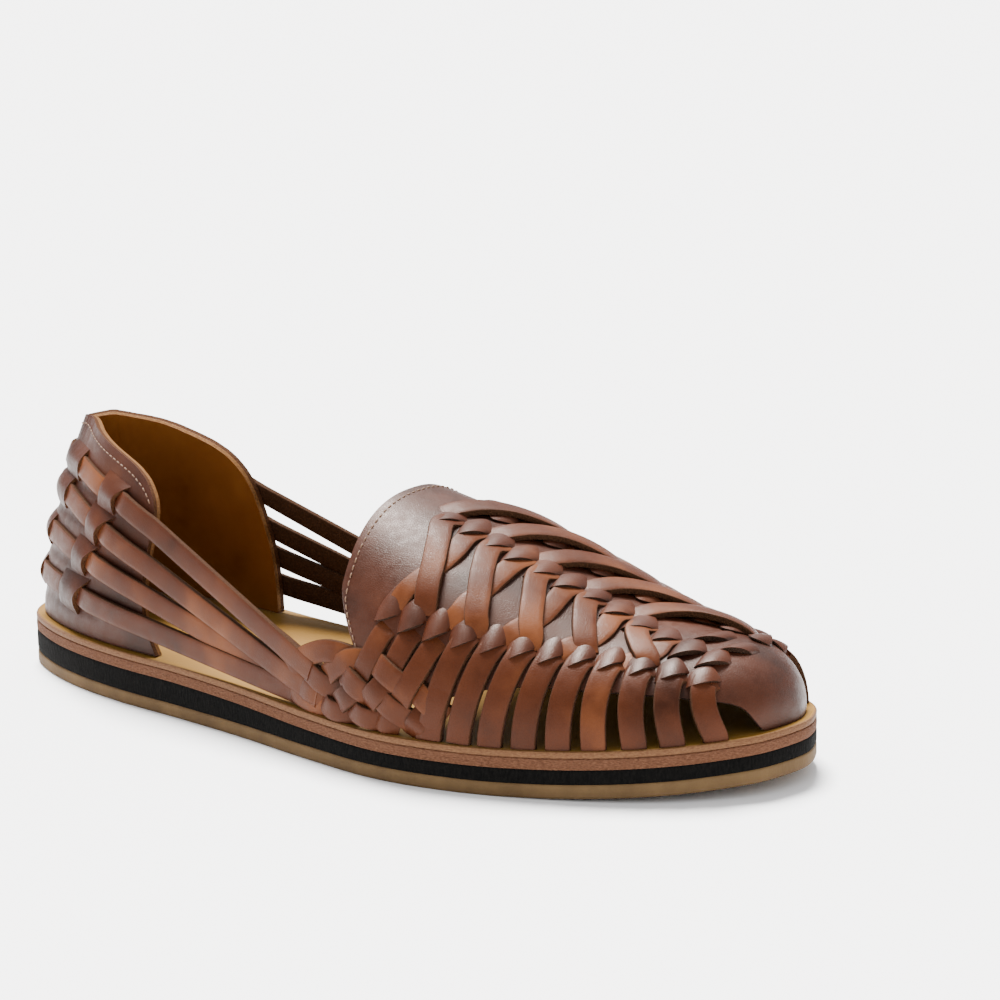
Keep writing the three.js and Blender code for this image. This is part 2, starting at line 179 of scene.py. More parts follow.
def make_fleck_group():
    """Node group: two sizes of noise on the object's coordinates give a mottle mask, and the
    finer one a bumped normal."""
    group = bpy.data.node_groups.new('fleck', 'ShaderNodeTree')
    for name, value in (('Coarse', 60.0), ('Fine', 900.0), ('Stretch', 1.0), ('Relief', 0.3)):
        group.interface.new_socket(name, in_out='INPUT',
                                   socket_type='NodeSocketFloat').default_value = value
    group.interface.new_socket('Mottle', in_out='OUTPUT', socket_type='NodeSocketFloat')
    group.interface.new_socket('Grain', in_out='OUTPUT', socket_type='NodeSocketFloat')
    group.interface.new_socket('Normal', in_out='OUTPUT', socket_type='NodeSocketVector')
    inside = group.nodes.new('NodeGroupInput')
    outside = group.nodes.new('NodeGroupOutput')
    place = add_node(group, 'ShaderNodeTexCoord').outputs['Object']
    squash = add_node(group, 'ShaderNodeCombineXYZ', None, X=1.0, Y=1.0, Z=inside.outputs['Stretch'])
    scaled = add_node(group, 'ShaderNodeVectorMath', {'operation': 'MULTIPLY'}, _0=place,
                      _1=squash.outputs[0])
    coarse = add_node(group, 'ShaderNodeTexNoise', None, Vector=scaled.outputs[0],
                      Scale=inside.outputs['Coarse'], Detail=4.0)
    fine = add_node(group, 'ShaderNodeTexNoise', None, Vector=scaled.outputs[0],
                    Scale=inside.outputs['Fine'], Detail=3.0)
    bump = add_node(group, 'ShaderNodeBump', None, Strength=inside.outputs['Relief'], Distance=0.0004,
                    Height=fine.outputs[0])
    group.links.new(coarse.outputs[0], outside.inputs['Mottle'])
    group.links.new(fine.outputs[0], outside.inputs['Grain'])
    group.links.new(bump.outputs[0], outside.inputs['Normal'])
    return group


FLECK = make_fleck_group()


def fleck(tree, coarse, fine, stretch, relief):
    """One use of the fleck group."""
    node = tree.nodes.new('ShaderNodeGroup')
    node.node_tree = FLECK
    for name, value in (('Coarse', coarse), ('Fine', fine), ('Stretch', stretch), ('Relief', relief)):
        node.inputs[name].default_value = value
    return node


def ramp(tree, factor, *stops):
    """A colour ramp with its stops as position and colour."""
    node = add_node(tree, 'ShaderNodeValToRGB', None, Fac=factor)
    band = node.color_ramp.elements
    while len(band) < len(stops):
        band.new(0.5)
    for element, (position, colour) in zip(band, stops):
        element.position = position
        element.color = (*colour, 1)
    return node.outputs[0]


gum, tree, shader = new_material('gum_rubber', 0.75, 0.2)
spots = fleck(tree, 90.0, 1500.0, 0.4, 0.35)
colour = ramp(tree, spots.outputs['Mottle'], (0.3, (0.075, 0.042, 0.0155)), (0.7, (0.11, 0.064, 0.025)))
tree.links.new(colour, shader.inputs['Base Color'])
tree.links.new(spots.outputs['Normal'], shader.inputs['Normal'])

EDGE_PROFILE = ((0, 0.5), (0.08, 0.12), (0.2, 0), (0.8, 0), (0.94, 0.1), (1, 0.35))
outsole = add_object('outsole_sheet', *sole_layer(spring, gum_top, EDGE_PROFILE), gum)
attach(outsole, 'root')
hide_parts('outsole')


# ---- Wedge midsole -------------------------------------------------------------
# Black cellular rubber, thicker under the heel and thinning through the waist.
# It is cemented to the gum sheet and ground flush, which leaves a fuzzy face.


def wedge_top(s):
    """The wedge is 7.4 mm under the heel and eases to 4.5 mm at the ball."""
    return gum_top(s) + 7.4 + (4.5 - 7.4) * smooth((s - 80) / 110)


rubber, tree, shader = new_material('black_rubber', 0.95, 0.08)
spots = fleck(tree, 400.0, 1400.0, 0.35, 0.9)
colour = ramp(tree, spots.outputs['Grain'], (0.35, (0.0012, 0.0011, 0.001)),
              (0.75, (0.0042, 0.0038, 0.0033)))
tree.links.new(colour, shader.inputs['Base Color'])
tree.links.new(spots.outputs['Normal'], shader.inputs['Normal'])

wedge = add_object('wedge_block', *sole_layer(gum_top, wedge_top, EDGE_PROFILE), rubber)
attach(wedge, 'root')
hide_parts('midsole_wedge')


# ---- Leather midsole -------------------------------------------------------------
# Vegetable-tanned sole leather, 3.6 mm, its trimmed edge left raw and pinkish.
# It carries the straps' turned ends and is cemented to the wedge.


def leather_top(s):
    """3.6 mm of sole leather above the wedge."""
    return wedge_top(s) + 3.6


sole_leather, tree, shader = new_material('sole_leather_edge', 0.85, 0.12)
spots = fleck(tree, 120.0, 1100.0, 2.6, 0.9)
colour = ramp(tree, spots.outputs['Grain'], (0.25, (0.052, 0.019, 0.0085)), (0.5, (0.085, 0.035, 0.0175)),
              (0.8, (0.125, 0.058, 0.031)))
tree.links.new(colour, shader.inputs['Base Color'])
tree.links.new(spots.outputs['Normal'], shader.inputs['Normal'])

midsole = add_object('midsole_leather', *sole_layer(
    wedge_top, leather_top, ((0, 0.35), (0.08, 0.05), (0.5, -0.05), (0.9, 0.05), (1, 0.4))), sole_leather)
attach(midsole, 'root')
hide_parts('leather_midsole')


# ---- Insole ------------------------------------------------------------------------
# Smooth natural leather, 2.1 mm, the surface that the foot stands on. Its grain
# side is yellow-tan, its edge raw, and the heel is pressed into a shallow dish.


def insole_top(s):
    """2.1 mm of insole above the leather midsole."""
    return leather_top(s) + 2.1


def insole_mesh():
    """The edge follows the outline up to a rounded corner. The top is strips across with
    columns that crowd towards the edges, pressed in under the heel and the ball as two
    rounded hollows and a soft groove along the rim."""
    count = len(RING)
    half = count // 2
    profile = ((0, 0.4), (0.12, 0.08), (0.7, 0), (0.93, 0.2), (1, 0.7))
    rows = []
    for share, inset in profile:
        ring = RING - RING_OUT * inset
        s = ring[:, 0]
        rows.append(np.column_stack([ring, leather_top(s) + 2.1 * share]))
    points = list(np.concatenate(rows))
    raw = [1.0] * (count * (len(profile) - 1)) + [0.6] * count
    faces = grid_faces(len(profile), count, wrap=True)
    last = (len(profile) - 1) * count
    across = 28
    share = 0.5 - 0.5 * np.cos(np.pi * np.arange(across + 1) / across)
    grid = np.zeros((half + 1, across + 1), int)
    for i in range(half + 1):
        near, far = points[last + i], points[last + (count - i) % count]
        for j in range(across + 1):
            if j == 0 or i in (0, half):
                grid[i, j] = last + i
            elif j == across:
                grid[i, j] = last + (count - i) % count
            else:
                p = near + (far - near) * share[j]
                edge = min(share[j], 1 - share[j]) * np.linalg.norm(far - near)
                rim = -0.25 * np.exp(-((edge - 2.2) / 0.8) ** 2)
                heel = -1.1 * np.exp(-((p[0] - 44) / 26) ** 2) * smooth(edge / 22)
                ball = -0.7 * np.exp(-((p[0] - 200) / 30) ** 2) * smooth(edge / 26)
                p = p + (0, 0, rim + heel + ball)
                grid[i, j] = len(points)
                points.append(p)
                raw.append(0.0)
    for i in range(half):
        for j in range(across):
            cell = [grid[i, j], grid[i + 1, j], grid[i + 1, j + 1], grid[i, j + 1]]
            cell = list(dict.fromkeys(cell))
            if len(cell) > 2:
                faces.append(cell)
    for i in range(half):
        strip = list(dict.fromkeys([i, i + 1, (count - i - 1) % count, (count - i) % count]))
        faces.append(strip[::-1])
    return np.array(points), faces, raw


insole_leather, tree, shader = new_material('insole_leather', 0.6, 0.1)
spots = fleck(tree, 26.0, 700.0, 1.0, 0.25)
top = ramp(tree, spots.outputs['Mottle'], (0.3, (0.155, 0.076, 0.0115)), (0.7, (0.205, 0.107, 0.019)))
edge_spots = fleck(tree, 120.0, 1100.0, 2.6, 0.9)
edge = ramp(tree, edge_spots.outputs['Grain'], (0.25, (0.07, 0.029, 0.0125)), (0.8, (0.16, 0.078, 0.035)))
cut = add_node(tree, 'ShaderNodeAttribute', {'attribute_name': 'raw'}).outputs['Fac']
mixed = add_node(tree, 'ShaderNodeMix', {'data_type': 'RGBA'}, _0=cut, _6=top, _7=edge)
tree.links.new(mixed.outputs[2], shader.inputs['Base Color'])
tree.links.new(spots.outputs['Normal'], shader.inputs['Normal'])

points, faces, raw = insole_mesh()
insole = add_object('insole_sheet', points, faces, insole_leather, raw=raw)
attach(insole, 'root')
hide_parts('insole')


# ---- Vamp ------------------------------------------------------------------------------
# One piece of oiled brown cowhide, lasted over the foot: the tongue, the sides behind the
# straps and the toe cap. Rows of slits are cut in it, and the leather between two slits
# stands up as a small bridge over the strap that is laced through them.

MARGIN = 3.0
FULLNESS = 2.4
RIDGE = catmull([(130, 70), (150, 66.5), (165, 62.6), (180, 58.4), (195, 53.3), (210, 47.2),
                 (225, 39.8), (240, 33), (255, 27.9), (270, 25), (295, 24.5)], 12)
VAMP_EDGE = catmull([(164, 31), (166, 27), (172, 20), (180, 13), (195, 9), (208, 12), (222, 20), (235, 26),
                     (255, 31), (270, 31), (279, 30), (283.5, 29), (286, 24), (287.8, 13), (289.2, 1),
                     (292, 0)], 8)
HALF = len(RING) // 2
INSET = RING - RING_OUT * MARGIN
LATERAL = INSET[:HALF + 1]
MEDIAL = np.vstack([INSET[HALF:], INSET[:1]])[::-1]


def last_surface(s, angle):
    """Across each station the section is a superellipse from one edge of the outline to the
    other, angle 0 at the lateral edge, 90 on the ridge and 180 at the medial edge. The
    ridge's height drops as a quarter superellipse over the toe's last 32 mm."""
    s, angle = np.broadcast_arrays(np.asarray(s, float), np.asarray(angle, float))
    held = np.minimum(s, LENGTH - MARGIN)
    lateral = np.interp(held, LATERAL[:, 0], LATERAL[:, 1])
    medial = np.interp(held, MEDIAL[:, 0], MEDIAL[:, 1])
    middle = (lateral + medial) / 2 + 4 * np.clip((LENGTH - MARGIN - held) / 60, 0, 1)
    fall = np.clip((held - (LENGTH - MARGIN - 32)) / 32, 0, 1)
    height = np.interp(held, RIDGE[:, 0], RIDGE[:, 1]) * np.sqrt(1 - fall ** 2.2)
    turn = np.radians(angle)
    out = np.abs(np.cos(turn)) ** (2 / FULLNESS)
    up = np.abs(np.sin(turn)) ** (2 / FULLNESS)
    edge = np.where(angle < 90, lateral, medial)
    return np.stack([held, middle + (edge - middle) * out, insole_top(held) + height * up], -1)


def last_normal(s, angle):
    """The cross product of the surface's two central differences, pointing outward."""
    s, angle = np.broadcast_arrays(np.asarray(s, float), np.asarray(angle, float))
    s = np.minimum(s, LENGTH - MARGIN - 0.6)
    angle = np.clip(angle, 1.2, 178.8)
    along = last_surface(s + 0.5, angle) - last_surface(s - 0.5, angle)
    round_ = last_surface(s, angle + 1) - last_surface(s, angle - 1)
    n = np.cross(along, round_)
    n /= np.linalg.norm(n, axis=-1, keepdims=True)
    return np.where(n[..., 2:] < -0.3, -n, n)


def angle_at(s, z):
    """The angle at which the section reaches the height z above the floor."""
    s, z = np.asarray(s, float), np.asarray(z, float)
    height = np.interp(s, RIDGE[:, 0], RIDGE[:, 1])
    share = np.clip((z - insole_top(s)) / height, 0, 1)
    return np.degrees(np.arcsin(share ** (FULLNESS / 2)))


def mirrored(angle, side):
    """An angle on the lateral side, or its twin across the ridge when side is 1."""
    return np.where(side > 0, 180 - np.asarray(angle, float), angle)


class Shell:
    """Points, faces and the float layers of several closed parts gathered into one mesh."""

    def __init__(self):
        self.points, self.faces, self.layers, self.count = [], [], {}, 0

    def add(self, points, faces, **layers):
        """Appends one closed part, moving its face indices past the points already held. Its
        signed volume is the sum over the faces' triangles of a third of the height times
        the base; if that is negative, the faces are turned outward."""
        points = np.asarray(points, float).reshape(-1, 3)
        corners = np.array([(f[0], f[k], f[k + 1]) for f in faces for k in range(1, len(f) - 1)])
        a, b, c = (points[corners[:, k]] - points.mean(0) for k in range(3))
        if np.sum(a * np.cross(b, c)) < 0:
            faces = [f[::-1] for f in faces]
        self.points.append(points)
        self.faces.extend([[k + self.count for k in f] for f in faces])
        for key, values in layers.items():
            self.layers.setdefault(key, []).append(np.asarray(values, float).reshape(len(points), -1))
        self.count += len(points)

    def build(self, name, material, sharp=40):
        """The gathered parts as one object."""
        layers = {key: np.concatenate(values).squeeze() for key, values in self.layers.items()}
        return add_object(name, np.concatenate(self.points), self.faces, material, sharp, **layers)


def closed_sheet(shell, outer, inner, place=None, tint=0.5):
    """A sheet between two grids of points of one shape, with a wall of raw edge round it.
    The wall has its own rows of points, about an eighth of the way in from the outer face and a tenth from
    the inner one, and takes the raw colour."""
    rows, columns = outer.shape[:2]
    i, j = np.mgrid[0:rows, 0:columns]
    rim = ([(0, k) for k in range(columns)] + [(k, columns - 1) for k in range(1, rows)]
           + [(rows - 1, k) for k in range(columns - 2, -1, -1)] + [(k, 0) for k in range(rows - 2, 0, -1)])
    size = rows * columns
    a = np.array([r * columns + c for r, c in rim])
    top, under = outer.reshape(-1, 3), inner.reshape(-1, 3)
    upper = top[a] * 0.88 + under[a] * 0.12
    lower = top[a] * 0.1 + under[a] * 0.9
    points = np.concatenate([top, under, upper, lower])
    n = len(a)
    b, c = 2 * size + np.arange(n), 2 * size + n + np.arange(n)
    faces = grid_faces(rows, columns) + grid_faces(rows, columns, size, True)
    for k in range(n):
        m = (k + 1) % n
        for p, q in ((a, b), (b, c), (c, a + size)):
            faces.append([int(p[k]), int(q[k]), int(q[m]), int(p[m])])
    raw = np.concatenate([np.zeros(size), np.ones(size), np.ones(2 * n)])
    flat = np.stack([i, j], -1).reshape(-1, 2) if place is None else place.reshape(-1, 2)
    spread = np.concatenate([flat, flat, flat[a], flat[a]])
    spread = np.column_stack([spread, np.full(len(spread), tint)])
    shell.add(points, faces, raw=raw, place=spread)


def band(shell, centre, normal, width=7.4, thickness=2.1, tint=0.5):
    """A strap cut from flat leather along a line of centres, turned to a normal at each. The
    section is a rectangle with rounded upper corners and raw sides."""
    for _ in range(3):
        normal[1:-1] = (normal[:-2] + normal[1:-1] * 2 + normal[2:]) / 4
    normal = normal / np.linalg.norm(normal, axis=1)[:, None]
    along = np.gradient(centre, axis=0)
    along /= np.linalg.norm(along, axis=1)[:, None]
    across = np.cross(normal, along)
    across /= np.linalg.norm(across, axis=1)[:, None]
    facing = np.cross(along, across)
    w, t = width / 2, thickness / 2
    section = np.array([(-w, -t * 0.75), (-w - 0.02, 0), (-w, t * 0.55), (-w + 0.12, t * 0.85),
                        (-w + 0.45, t),
                        (-w * 0.55, t + 0.12), (0, t + 0.16), (w * 0.55, t + 0.12), (w - 0.45, t),
                        (w - 0.12, t * 0.85), (w, t * 0.55), (w + 0.02, 0), (w, -t * 0.75), (w - 0.3, -t),
                        (0, -t), (-w + 0.3, -t)])
    raw = np.array([1, 1, 1, 0.75, 0, 0, 0, 0, 0, 0.75, 1, 1, 1, 1, 1, 1.0])
    body = centre[:, None] + across[:, None] * section[None, :, :1] + facing[:, None] * section[None, :, 1:]
    rows, columns = body.shape[:2]
    run = np.concatenate([[0], np.cumsum(np.linalg.norm(np.diff(centre, axis=0), axis=1))])
    place = np.stack(np.broadcast_arrays(run[:, None], section[None, :, 0], tint), -1)
    faces = grid_faces(rows, columns, wrap=True)
    faces.append(list(range(columns))[::-1])
    faces.append([(rows - 1) * columns + k for k in range(columns)])
    outward = np.cross(body[0, 6] - body[0, 5], body[1, 5] - body[0, 5])
    if np.dot(outward, facing[0]) < 0:
        faces = [f[::-1] for f in faces]
    shell.add(body, faces, raw=np.tile(raw, rows), place=place.reshape(-1, 3))


def ribbon(shell, path, width=7.4, thickness=2.1, surface=None, side=0, steps=8, tint=0.5, sink=0.0):
    """A strap lying on a surface. The path's rows are a place on it and the height of the
    strap's middle over it; a Catmull-Rom curve runs through them. sink lowers the end."""
    line = catmull(path, steps)
    where, normal_at = surface or (last_surface, last_normal)
    second = line[:, 1] if surface else mirrored(line[:, 1], side)
    normal = normal_at(line[:, 0], second)
    centre = where(line[:, 0], second) + normal * line[:, 2:3]
    centre[-1, 2] -= sink
    band(shell, centre, normal, width, thickness, tint)


def bridge(shell, left, right, top_left, top_right, rise=2.4, bow=1.4, crest=5.0, side=0, surface=None,
           thick=1.7, tint=0.5, open_top=0.4, fall=0.62):
    """The leather between two slits, standing up over a strap. Its open edge runs from left
    to right, bowed outward by bow, and its far edge from top_left to top_right, bowed the
    other way by crest. The height over the sheet is a flattened half sine across, growing
    from the far edge to the open one."""
    where, normal_at = surface or (last_surface, last_normal)
    u = np.linspace(0, 1, 17)[None, :]
    v = np.linspace(0, 1, 11)[:, None]
    left, right, top_left, top_right = (np.asarray(k, float) for k in (left, right, top_left, top_right))
    arch = np.sin(np.pi * u)
    low = left + (right - left) * u[..., None]
    high = top_left + (top_right - top_left) * u[..., None]
    down = (left + right - top_left - top_right) / 2
    down = down / np.linalg.norm(down)
    low = low + down * (bow * arch)[..., None]
    high = high - down * (crest * arch)[..., None]
    place = high + (low - high) * v[..., None]
    first, second = place[..., 0], place[..., 1]
    if surface is None:
        second = mirrored(second, side)
    base = where(first, second)
    normal = normal_at(first, second)
    lift = rise * arch ** fall * (open_top * (1 - v) + v ** 0.85)
    top = base + normal * (lift + 0.05)[..., None]
    under = base + normal * (lift + 0.05 - thick * np.clip(0.3 + v, 0, 1))[..., None]
    facing = np.cross(top[5, 9] - top[5, 8], top[6, 8] - top[5, 8])
    if np.dot(facing, normal[5, 8]) < 0:
        top, under = top[:, ::-1], under[:, ::-1]
    spread = np.stack(np.broadcast_arrays(v * 7.0, (u - 0.5) * 8.0), -1)
    closed_sheet(shell, top, under, place=spread, tint=tint)


def make_hide_group():
    """Node group: oiled leather. Broad noise carries the colour between a dark, a middle and
    a light brown, each part's own tint shifts it, the raw mask mixes in the cut edge's
    fibrous brown, and fine noise bumps the grain."""
    group = bpy.data.node_groups.new('pull_up_hide', 'ShaderNodeTree')
    colours = (('Dark', (0.0105, 0.0023, 0.0008, 1)), ('Middle', (0.038, 0.0088, 0.0029, 1)),
               ('Light', (0.092, 0.026, 0.0085, 1)), ('Cut', (0.022, 0.0085, 0.0036, 1)))
    for name, value in colours:
        group.interface.new_socket(name, in_out='INPUT',
                                   socket_type='NodeSocketColor').default_value = value
    for name, value in (('Raw', 0.0), ('Tint', 0.5), ('Relief', 0.25)):
        group.interface.new_socket(name, in_out='INPUT',
                                   socket_type='NodeSocketFloat').default_value = value
    for name, kind in (('Color', 'NodeSocketColor'), ('Roughness', 'NodeSocketFloat'),
                       ('Normal', 'NodeSocketVector')):
        group.interface.new_socket(name, in_out='OUTPUT', socket_type=kind)
    inside = group.nodes.new('NodeGroupInput')
    outside = group.nodes.new('NodeGroupOutput')
    place = add_node(group, 'ShaderNodeTexCoord').outputs['Object']
    broad = add_node(group, 'ShaderNodeTexNoise', None, Vector=place, Scale=45.0, Detail=2.0)
    cloud = add_node(group, 'ShaderNodeTexNoise', None, Vector=place, Scale=320.0, Detail=4.0)
    grain = add_node(group, 'ShaderNodeTexVoronoi', {'feature': 'DISTANCE_TO_EDGE'}, Vector=place,
                     Scale=1500.0)
    fuzz = add_node(group, 'ShaderNodeTexNoise', None, Vector=place, Scale=1800.0, Detail=3.0)
    part = add_node(group, 'ShaderNodeMath', {'operation': 'MULTIPLY_ADD'}, _0=inside.outputs['Tint'],
                    _1=0.7, _2=-0.35)
    cloudy = add_node(group, 'ShaderNodeMath', {'operation': 'MULTIPLY_ADD'}, _0=cloud.outputs[0], _1=0.16,
                      _2=-0.08)
    both = add_node(group, 'ShaderNodeMath', {'operation': 'ADD'}, _0=part.outputs[0], _1=cloudy.outputs[0])
    level = add_node(group, 'ShaderNodeMath', {'operation': 'ADD'}, _0=broad.outputs[0], _1=both.outputs[0])
    low = add_node(group, 'ShaderNodeMapRange', {'interpolation_type': 'SMOOTHSTEP'}, _0=level.outputs[0],
                   _1=0.1, _2=0.52)
    high = add_node(group, 'ShaderNodeMapRange', {'interpolation_type': 'SMOOTHSTEP'}, _0=level.outputs[0],
                    _1=0.48, _2=0.95)
    first = add_node(group, 'ShaderNodeMix', {'data_type': 'RGBA'}, _0=low.outputs[0],
                     _6=inside.outputs['Dark'], _7=inside.outputs['Middle'])
    second = add_node(group, 'ShaderNodeMix', {'data_type': 'RGBA'}, _0=high.outputs[0],
                      _6=first.outputs[2], _7=inside.outputs['Light'])
    fibre = add_node(group, 'ShaderNodeMix', {'data_type': 'RGBA', 'blend_type': 'MULTIPLY'}, _0=0.75,
                     _6=inside.outputs['Cut'], _7=ramp(group, fuzz.outputs[0], (0.3, (0.3, 0.26, 0.22)),
                                                       (0.72, (1, 1, 1))))
    mixed = add_node(group, 'ShaderNodeMix', {'data_type': 'RGBA'}, _0=inside.outputs['Raw'],
                     _6=second.outputs[2], _7=fibre.outputs[2])
    polish = add_node(group, 'ShaderNodeMapRange', None, _0=cloud.outputs[0], _1=0.3, _2=0.7, _3=0.36,
                      _4=0.5)
    dull = add_node(group, 'ShaderNodeMix', {'data_type': 'FLOAT'}, _0=inside.outputs['Raw'],
                    _2=polish.outputs[0], _3=0.95)
    pores = add_node(group, 'ShaderNodeMapRange', None, _0=grain.outputs[0], _1=0.0, _2=0.12)
    soft = add_node(group, 'ShaderNodeBump', None, Strength=inside.outputs['Relief'], Distance=0.00012,
                    Height=pores.outputs[0])
    rough = add_node(group, 'ShaderNodeMath', {'operation': 'MULTIPLY'}, _0=inside.outputs['Raw'], _1=0.9)
    bump = add_node(group, 'ShaderNodeBump', None, Strength=rough.outputs[0], Distance=0.0006,
                    Height=fuzz.outputs[0], Normal=soft.outputs[0])
    group.links.new(mixed.outputs[2], outside.inputs['Color'])
    group.links.new(dull.outputs[0], outside.inputs['Roughness'])
    group.links.new(bump.outputs[0], outside.inputs['Normal'])
    return group


HIDE = make_hide_group()


def hide_material(name, relief=0.25, sheen=0.13, **colours):
    """Oiled leather whose raw edge and tint come from the mesh's own layers."""
    material, tree, shader = new_material(name, 0.45, sheen)
    node = tree.nodes.new('ShaderNodeGroup')
    node.node_tree = HIDE
    node.inputs['Relief'].default_value = relief
    shader.inputs['Specular Tint'].default_value = (1, 0.84, 0.74, 1)
    for key, value in colours.items():
        node.inputs[key].default_value = (*value, 1)
    raw = add_node(tree, 'ShaderNodeAttribute', {'attribute_name': 'raw'})
    place = add_node(tree, 'ShaderNodeAttribute', {'attribute_name': 'place'})
    split = add_node(tree, 'ShaderNodeSeparateXYZ', None, Vector=place.outputs['Vector'])
    tree.links.new(raw.outputs['Fac'], node.inputs['Raw'])
    tree.links.new(split.outputs['Z'], node.inputs['Tint'])
    tree.links.new(node.outputs['Color'], shader.inputs['Base Color'])
    tree.links.new(node.outputs['Roughness'], shader.inputs['Roughness'])
    tree.links.new(node.outputs['Normal'], shader.inputs['Normal'])
    return material


def vamp_sheet(shell):
    """The lasted sheet: columns of stations crowded at both ends, rows from the lateral free
    edge over the ridge to the medial one. The tongue's back edge leans with the angle, and
    the sheet thins to nothing in height where the toe meets the insole."""
    stations, rows = 150, 120
    t = np.linspace(0, 1, stations)[None, :]
    u = np.linspace(-1, 1, rows)[:, None]
    back = 163.2 + 1.6 * np.abs(u) ** 2 + 9.5 * np.clip((np.abs(u) - 0.9) / 0.1, 0, 1) ** 2
    s = back + (LENGTH - MARGIN - back) * (1 - (1 - t) ** 1.25)
    edge = np.interp(s, VAMP_EDGE[:, 0], VAMP_EDGE[:, 1])
    angle = 90 + u * (90 - edge)
    outer = last_surface(s, angle)
    normal = last_normal(s, angle)
    outer = outer - normal * (0.25 * smooth(1 - (s - back) / 1.6))[..., None]
    inner = outer - normal * 1.5
    closed_sheet(shell, outer[:, ::-1], inner[:, ::-1], tint=0.32,
                 place=np.stack(np.broadcast_arrays(s, angle), -1))


hide = hide_material('vamp_hide', sheen=0.22)

vamp_parts = Shell()
vamp_sheet(vamp_parts)

# The lower row of slits: the open edge's back and front end, as station and angle. The
# bridges' far corners are the pinched points shared by neighbours.
LOWER_SLITS = [((180, 29.2), (188.1, 34.6)), ((189, 28.2), (197, 35.1)), ((197.5, 28.2), (204.9, 35.7)),
               ((205.9, 28.4), (213.5, 36.9)), ((214.5, 30.3), (221.5, 39.5)),
               ((222.7, 32.1), (229.4, 42.3)),
               ((230.6, 34.1), (237.2, 44.4)), ((238.6, 36.6), (245, 48.4)), ((246.4, 38.7), (252.9, 50.8)),
               ((255, 39.3), (261.3, 51.2)), ((263.3, 40), (270, 50)), ((271.4, 38.2), (278.2, 48.4))]
# The upper row, along the ridge.
UPPER_SLITS = [((180.7, 74.5), (186.2, 83.2)), ((189.3, 74.3), (194.7, 83.2)),
               ((197.5, 72.7), (202.9, 82.2)),
               ((205.1, 72.4), (210.9, 82.2)), ((213.1, 72.1), (218.5, 82.2)), ((220.7, 74), (226.3, 82.4)),
               ((227.9, 73.7), (233.7, 83)), ((236.3, 73.6), (242.3, 82)), ((244.3, 71.1), (251.2, 79.3)),
               ((253.6, 68.1), (260.2, 76.5))]
CASCADE_SLITS = [((262, 60), (269.5, 71.9)), ((270.2, 56.5), (277.2, 68.3))]
RIDGE_SLITS = [((262.4, 78), (269.6, 90)), ((271.4, 76), (278.4, 88))]
for side in (0, 1):
    for k, (left, right) in enumerate(LOWER_SLITS):
        before = np.array(LOWER_SLITS[k - 1][1]) + (0.3, 1.7) if k else np.array(left) + (0.5, 5)
        crest = 5.5 + 0.25 * k
        bridge(vamp_parts, left, right, before, np.array(right) + (0.2, 1.6), rise=2.5 if k else 1.7,
               bow=1.0,
               crest=crest if k else 12, side=side, tint=0.34 + 0.1 * (k % 3), open_top=0.4 if k else 0)
    for k, (left, right) in enumerate(UPPER_SLITS):
        before = np.array(UPPER_SLITS[k - 1][1]) + (0.4, 1.6) if k else np.array(left) + (-2, 9)
        bridge(vamp_parts, left, right, before, np.array(right) + (0.5, 1.8), rise=2.2, bow=1.2,
               crest=4.5 if k else 5, side=side, tint=0.4 + 0.1 * ((k + 1) % 3), open_top=0.35 if k else 0)
    for k, (left, right) in enumerate(CASCADE_SLITS):
        before = np.array(UPPER_SLITS[-1][1]) if k == 0 else np.array(CASCADE_SLITS[0][1]) + (0, 1)
        bridge(vamp_parts, left, right, before, np.array(right) + (0.2, 2), rise=2.2, bow=1.4, crest=7,
               side=side, tint=0.42)
for k, (left, right) in enumerate(RIDGE_SLITS):
    bridge(vamp_parts, left, right, np.array(left) + (0, 8), np.array(right) + (0.5, 5), rise=2.0, bow=1.4,
           crest=6, tint=0.45)
vamp = vamp_parts.build('vamp_sheet', hide)
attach(vamp, 'root')
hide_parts('upper')


# ---- Lacing straps -----------------------------------------------------------------------
# Twenty-four straps of the same hide, about 7.5 mm wide, cross the vamp: each comes out of a
# slit by the ridge, lies on the vamp, dives under a bridge of the lower row and runs down
# to the insole, where its end is tucked into the sole.

strap_hide = hide_material('strap_hide', Middle=(0.049, 0.0118, 0.0037), Light=(0.125, 0.0375, 0.0115),
                            Cut=(0.048, 0.02, 0.0085))
straps = Shell()

STEEP = [  # upper slit, middle, and entry above the lower bridge
    [(184.6, 84, -1.0), (183.6, 77, 0.7), (187.5, 68, 1.25), (191.2, 58, 1.25), (193.8, 48, 1.25),
     (195.2, 42.5, 0.6), (196, 38, -0.7)],
    [(201.3, 83, -1.0), (200.4, 76, 0.7), (204, 65, 1.25), (208, 54, 1.25), (210.4, 46, 1.25),
     (212, 42, 0.6), (212.6, 37.6, -0.7)],
    [(216.8, 83, -1.0), (216, 75.5, 0.7), (220.4, 64, 1.25), (224.4, 53, 1.25), (226.8, 47, 0.6),
     (227.6, 42, -0.7)],
    [(231.8, 83, -1.0), (231, 76.5, 0.7), (235, 66.5, 1.25), (239.4, 56.6, 0.8), (242.2, 50, -0.6)],
    [(248.8, 82, -1.0), (248.2, 74, 0.7), (253.8, 63, 1.25), (257.4, 57, 0.8), (259, 52, -0.6)]]
